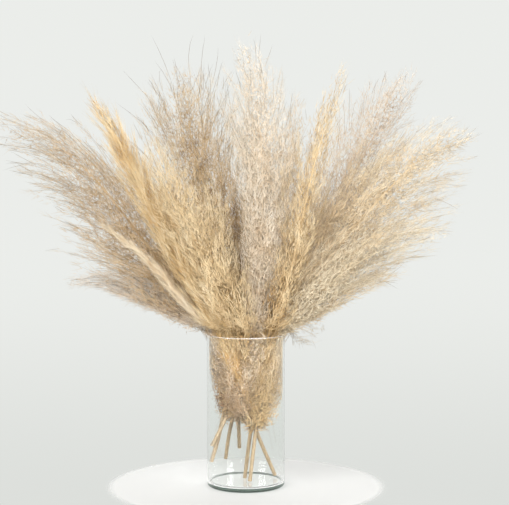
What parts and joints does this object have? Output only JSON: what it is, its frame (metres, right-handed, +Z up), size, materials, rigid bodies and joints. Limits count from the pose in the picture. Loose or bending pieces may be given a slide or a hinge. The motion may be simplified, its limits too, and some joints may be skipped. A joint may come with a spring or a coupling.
{
  "type": "bundle of pampas grass",
  "caption": "Bundle of dried pampas grass plumes on straw stems, fanned out of a clear glass cylinder vase, for table decoration.",
  "frame": {"origin": "centre of the vase's flat underside", "axes": "+Z up the vase's axis; +X to the right seen from the front, along the wide spread of the plumes; +Y to the back"},
  "size_m": [0.7765, 0.4504, 0.7145],
  "materials": {
    "glass": "clear, faint green in the thick base",
    "grey_beige": "dry fluff",
    "grey_brown": "dry fluff",
    "pink_beige": "dry fluff",
    "pale_pink": "dry fluff",
    "gold": "dry fluff with a slight sheen",
    "yellow_tan": "dry fluff",
    "pale_straw": "dry straw",
    "cream": "dry fluff"
  },
  "bodies": {
    "root": {"vase": "glass", "plume_far_left_grey": "grey_beige", "plume_low_left_pink": "pink_beige", "plume_tall_left_gold": "gold", "plume_front_left_tan": "yellow_tan", "plume_left_spike": "pale_straw", "plume_back_left_brown": "grey_brown", "plume_centre_pale": "pale_pink", "plume_back_centre_grey": "grey_beige", "plume_right_centre_tan": "yellow_tan", "plume_tall_right_pink": "pink_beige", "plume_right_cream": "cream", "plume_low_right_cream": "cream", "plume_lowest_right_pale": "pale_pink", "plume_back_brown": "grey_brown", "plume_back_left_grey": "grey_beige"}
  },
  "joints": []
}
